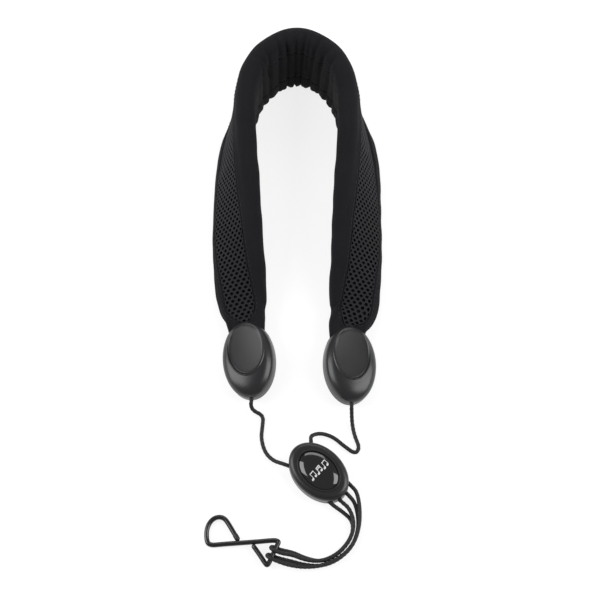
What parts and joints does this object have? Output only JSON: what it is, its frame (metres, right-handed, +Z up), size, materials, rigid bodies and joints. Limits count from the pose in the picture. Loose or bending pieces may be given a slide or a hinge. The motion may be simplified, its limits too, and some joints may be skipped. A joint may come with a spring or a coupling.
{
  "type": "saxophone neck strap",
  "caption": "Padded neck strap for a saxophone: a curved mesh-faced band, two oval end caps, braided cord, a sliding oval adjuster and a wire snap hook.",
  "frame": {"origin": "Under the middle of the footprint of the strap as it lies on a flat surface, cord left out", "axes": "+Y runs from the hook to the middle of the neck band, +Z is up, +X is right when the band's middle is at the far end"},
  "size_m": [0.1108, 0.3453, 0.0495],
  "materials": {
    "foam": "matt closed-cell foam, hidden inside the cloth",
    "mesh_cloth": "open knitted spacer mesh, black",
    "lining_cloth": "smooth matt stretch lining, black",
    "edge_cloth": "fine stretch cloth with a faint nap, black",
    "webbing": "woven nylon webbing",
    "cord": "tight round braid, black",
    "cap_plastic": "satin moulded plastic, black",
    "adjuster_plastic": "satin moulded plastic, black",
    "badge_plastic": "domed gloss black resin",
    "tip_plastic": "matt black plastic",
    "hook_lacquer": "satin black lacquer on steel wire",
    "steel": "plain steel"
  },
  "bodies": {
    "neck_strap": {"pad_foam_core": "foam", "pad_mesh_panel": "mesh_cloth", "pad_lining": "lining_cloth", "pad_upper_edge_band": "edge_cloth", "pad_lower_edge_band": "edge_cloth", "left_upper_cord": "cord", "right_upper_cord": "cord", "left_cap_front": "cap_plastic", "left_cap_back": "cap_plastic", "left_end_tab": "webbing", "left_cord_knot": "cord", "left_cap_screw_1": "steel", "left_cap_screw_2": "steel", "right_cap_front": "cap_plastic", "right_cap_back": "cap_plastic", "right_end_tab": "webbing", "right_cord_knot": "cord", "right_cap_screw_1": "steel", "right_cap_screw_2": "steel", "hook_cord_loop_1": "cord", "hook_cord_loop_2": "cord"},
    "slider": {"slider_back": "adjuster_plastic", "slider_front": "adjuster_plastic", "slider_badge": "badge_plastic", "slider_turn_pin": "steel", "slider_cord_left": "cord", "slider_cord_right": "cord", "slider_cord_turn": "cord", "slider_screw_1": "steel", "slider_screw_2": "steel"},
    "hook": {"hook_wire": "hook_lacquer"},
    "hook_arm": {"hook_spring_arm": "hook_lacquer", "hook_tip_cap": "tip_plastic"}
  },
  "joints": [
    {"name": "slider_slide", "type": "slide", "parent": "neck_strap", "child": "slider", "axis": [0.7071, -0.7071, 0], "range_m": [-0.02, 0.008], "deforming": ["left_upper_cord", "right_upper_cord", "hook_cord_loop_1", "hook_cord_loop_2"]},
    {"name": "hook_swing", "type": "hinge", "parent": "neck_strap", "child": "hook", "pos_m": [-0.014, -0.1652, 0.0043], "axis": [0.4305, 0.9026, 0], "range_deg": [0, 100], "deforming": ["hook_cord_loop_1", "hook_cord_loop_2"]},
    {"name": "hook_arm_flex", "type": "hinge", "parent": "hook", "child": "hook_arm", "pos_m": [-0.05437, -0.15565, 0.00168], "axis": [-0.0582, 0.0278, 0.9979], "range_deg": [0, 12], "stiffness_Nm_per_rad": 1.8, "springref_deg": -2.86}
  ]
}
